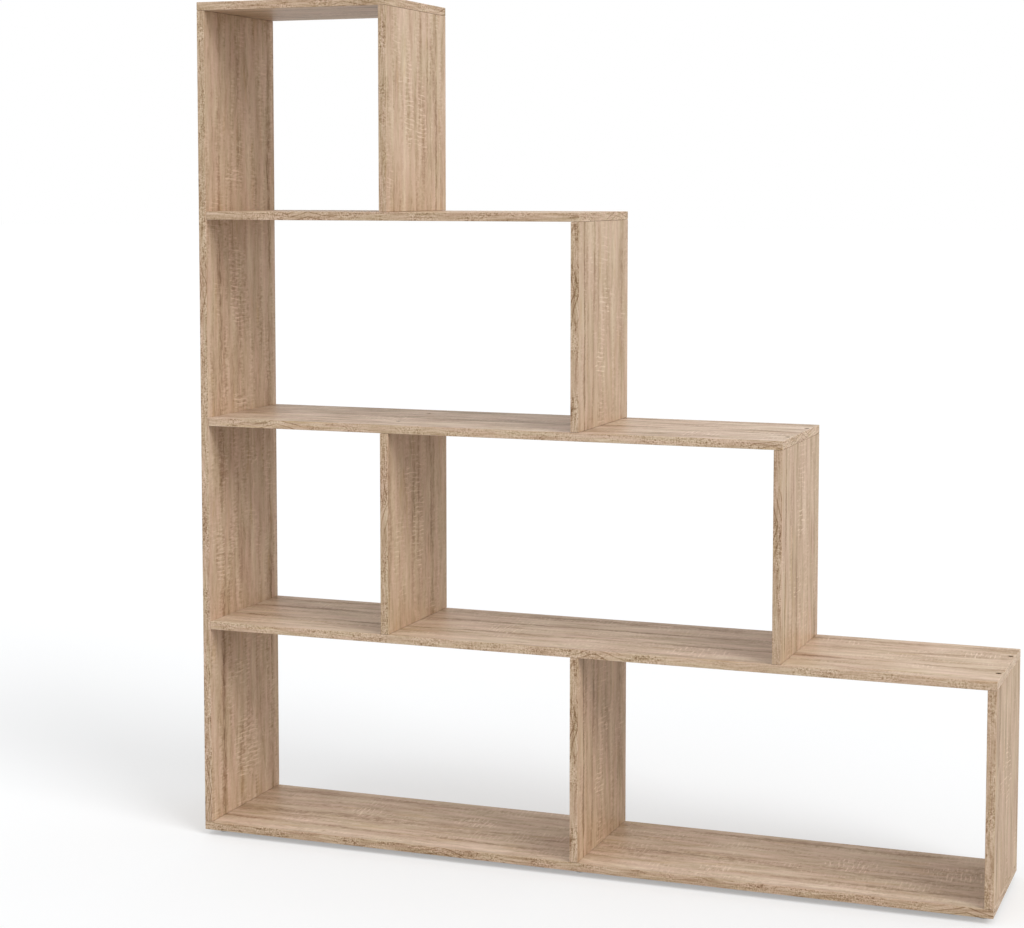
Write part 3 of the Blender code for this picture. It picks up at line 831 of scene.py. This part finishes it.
def screw_shape():
    """Points and faces of a screw with its head's face at height 0 and its tip below.

    Over the thread a ring's radius grows by a ridge, highest where height over pitch less the
    angle's share of a turn is half way between two whole numbers. In the socket a ring is a
    hexagon, so its radius is half the flats over the cosine of the angle from the nearest flat.
    """
    thread_top = -(HEAD_RIM + HEAD_CONE + COLLAR_LENGTH)
    shank = np.arange(-SCREW_LENGTH + TIP_LENGTH, thread_top, THREAD_PITCH / RINGS_PER_PITCH)
    point = np.clip((shank + SCREW_LENGTH) / POINT_LENGTH, 0.0, 1.0)
    core = CORE_RADIUS * (POINT_SHARE + (1.0 - POINT_SHARE) * point)
    tip = [(CORE_RADIUS * TIP_SHARE, -SCREW_LENGTH)]
    collar = [
        (CORE_RADIUS, thread_top),
        (COLLAR_RADIUS - COLLAR_EDGE, thread_top),
        (COLLAR_RADIUS, thread_top + COLLAR_EDGE),
        (COLLAR_RADIUS, -HEAD_RIM - HEAD_CONE),
    ]
    head = [
        (HEAD_RADIUS, -HEAD_RIM),
        (HEAD_RADIUS, -HEAD_EDGE),
        (HEAD_RADIUS - HEAD_EDGE, 0.0),
        (SOCKET_HALF_FLATS * SOCKET_MOUTH, 0.0),
    ]
    socket = [
        (SOCKET_HALF_FLATS, -SOCKET_LEAD),
        (SOCKET_HALF_FLATS, -SOCKET_DEPTH),
        (SOCKET_HALF_FLATS * SOCKET_POINT_SHARE, -SOCKET_DEPTH - SOCKET_POINT_DEPTH),
    ]
    profile = tip + np.stack((core, shank), axis=1).tolist() + collar + head + socket
    height = np.array(profile)[:, 1]
    ring = np.arange(len(profile))
    angle = np.arange(SCREW_SIDES) * 2 * np.pi / SCREW_SIDES
    share = (height[:, None] / THREAD_PITCH - angle / (2 * np.pi)) % 1.0
    ridge = np.clip(1.0 - np.abs(share - 0.5) / THREAD_HALF_WIDTH, 0.0, 1.0)

    # The thread runs out under the collar and towards the tip
    under_collar = np.clip((thread_top - height) / THREAD_PITCH, 0.0, 1.0)
    near_tip = np.clip((height + SCREW_LENGTH) / POINT_LENGTH, THREAD_LOWEST, 1.0)
    crest = under_collar * near_tip * (ring <= len(shank)) * (CREST_RADIUS / CORE_RADIUS - 1.0)
    swell = 1.0 + ridge * crest[:, None]
    from_flat = (angle + np.pi / 6) % (np.pi / 3) - np.pi / 6
    in_socket = ring >= len(profile) - len(socket)
    swell = np.where(in_socket[:, None], 1.0 / np.cos(from_flat), swell)
    return turned_shape(profile, SCREW_SIDES, swell)


screw_finish = plated_steel("bronzed_screw", PAINTED_SHADE_BRONZE, BRONZE_RIM, BRONZE_ROUGHNESS, SCREW_DRAWN_CELL)
screw_points, screw_faces = screw_shape()
screw_nodes = sorted(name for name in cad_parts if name.startswith("screw_"))
for number, screw in enumerate(screw_nodes):
    low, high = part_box(screw)
    lies_along_x = high.x - low.x > high.z - low.z

    # The head is at the end where the solid is widest
    cad_points = np.array([corner.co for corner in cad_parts[screw].data.vertices])
    middle = np.array((low + high) / 2)
    way = 0 if lies_along_x else 2
    off_axis = np.delete(cad_points - middle, way, axis=1)
    head_at_high_end = cad_points[np.argmax((off_axis ** 2).sum(axis=1)), way] > middle[way]

    # Each was left at its own turn by the key
    turn = number * KEY_TURN
    x, y, z = screw_points.T
    x, y = x * math.cos(turn) - y * math.sin(turn), x * math.sin(turn) + y * math.cos(turn)
    if lies_along_x:
        placed = np.stack((low.x - z, middle[1] + y, middle[2] + x), axis=1)
    elif head_at_high_end:
        placed = np.stack((middle[0] + x, middle[1] + y, high.z + z), axis=1)
    else:
        placed = np.stack((middle[0] + x, middle[1] - y, low.z - z), axis=1)
    fit_piece(screw + "_threaded", placed, screw_faces, screw_finish, screw)


# Studio
# A plain pale floor that runs out of sight, one even sky for fill and two soft lamps high on
# the right, and the camera where the photograph was taken from.

CAMERA_PLACE = (1.2871, -3.8941, 1.2605)
CAMERA_TURN = math.radians(20.574)
CAMERA_DIP = math.radians(4.4)
CAMERA_LENS = 77.62
CAMERA_SHIFT = -0.1042
LAMPS = (
    # degrees to the right of the front, degrees up, width of the lamp in degrees, strength
    (62.0, 40.0, 29.0, 1.21),
    (20.0, 45.0, 80.0, 0.31),
)
SKY_STRENGTH = 0.755
WHITE = (1.0, 1.0, 1.0, 1.0)
FLOOR_REACH = 60.0
FLOOR_BOUNCE = (0.580, 0.580, 0.580, 1.0)
FLOOR_SEEN = (0.612, 0.621, 0.629, 1.0)
FLOOR_GLOW = 0.358


def lamp(name, side, up, width, strength):
    """A distant soft lamp that shines from a side and a height towards the unit."""
    data = bpy.data.lights.new(name, "SUN")
    data.energy = strength
    data.angle = math.radians(width)
    item = bpy.data.objects.new(name, data)
    item.rotation_euler = (math.radians(90.0 - up), 0.0, math.radians(side))
    bpy.context.scene.collection.objects.link(item)


def seen_ray(tree):
    """1 for a ray from the camera, or one that a gloss or a clear piece sends on, and else 0."""
    path = tree.nodes.new("ShaderNodeLightPath")
    seen = path.outputs["Is Camera Ray"]
    for kind in ("Is Glossy Ray", "Is Transmission Ray"):
        either = tree.nodes.new("ShaderNodeMath")
        either.operation = "MAXIMUM"
        tree.links.new(seen, either.inputs[0])
        tree.links.new(path.outputs[kind], either.inputs[1])
        seen = either.outputs["Value"]
    return seen


for number, (side, up, width, strength) in enumerate(LAMPS, 1):
    lamp(f"soft_lamp_{number}", side, up, width, strength)

# The sky is seen white, and lights the unit a little less
sky = bpy.data.worlds.new("pale_sky")
bpy.context.scene.world = sky
sky.use_nodes = True
sky_nodes = sky.node_tree.nodes
sky_light = sky_nodes["Background"]
sky_light.inputs["Color"].default_value = WHITE
level = sky_nodes.new("ShaderNodeMapRange")
level.inputs["To Min"].default_value = SKY_STRENGTH
level.inputs["To Max"].default_value = 1.0
sky.node_tree.links.new(seen_ray(sky.node_tree), level.inputs["Value"])
sky.node_tree.links.new(level.outputs["Result"], sky_light.inputs["Strength"])

# The floor is seen near white, with the unit's shadow on it
corners = [(x * FLOOR_REACH, y * FLOOR_REACH, 0.0) for x, y in ((-1, -1), (1, -1), (1, 1), (-1, 1))]
floor_mesh = bpy.data.meshes.new("floor")
floor_mesh.from_pydata(corners, [], [(0, 1, 2, 3)])
floor = bpy.data.objects.new("floor", floor_mesh)
bpy.context.scene.collection.objects.link(floor)
paint = Finish("pale_floor")
seen = seen_ray(paint.tree)
paint.dress("Base Color", paint.blend(seen, FLOOR_BOUNCE, FLOOR_SEEN))
paint.dress("Emission Color", WHITE)
paint.dress("Emission Strength", paint.math("MULTIPLY", seen, FLOOR_GLOW))
paint.dress("Roughness", 1.0)
paint.dress("Specular IOR Level", 0.0)
floor_mesh.materials.append(paint.material)

camera = bpy.data.objects.new("camera", bpy.data.cameras.new("camera"))
camera.data.lens = CAMERA_LENS
camera.data.shift_y = CAMERA_SHIFT
camera.location = CAMERA_PLACE
camera.rotation_euler = (math.pi / 2 - CAMERA_DIP, 0.0, CAMERA_TURN)
bpy.context.scene.collection.objects.link(camera)
bpy.context.scene.camera = camera
bpy.context.scene.view_settings.view_transform = "Standard"
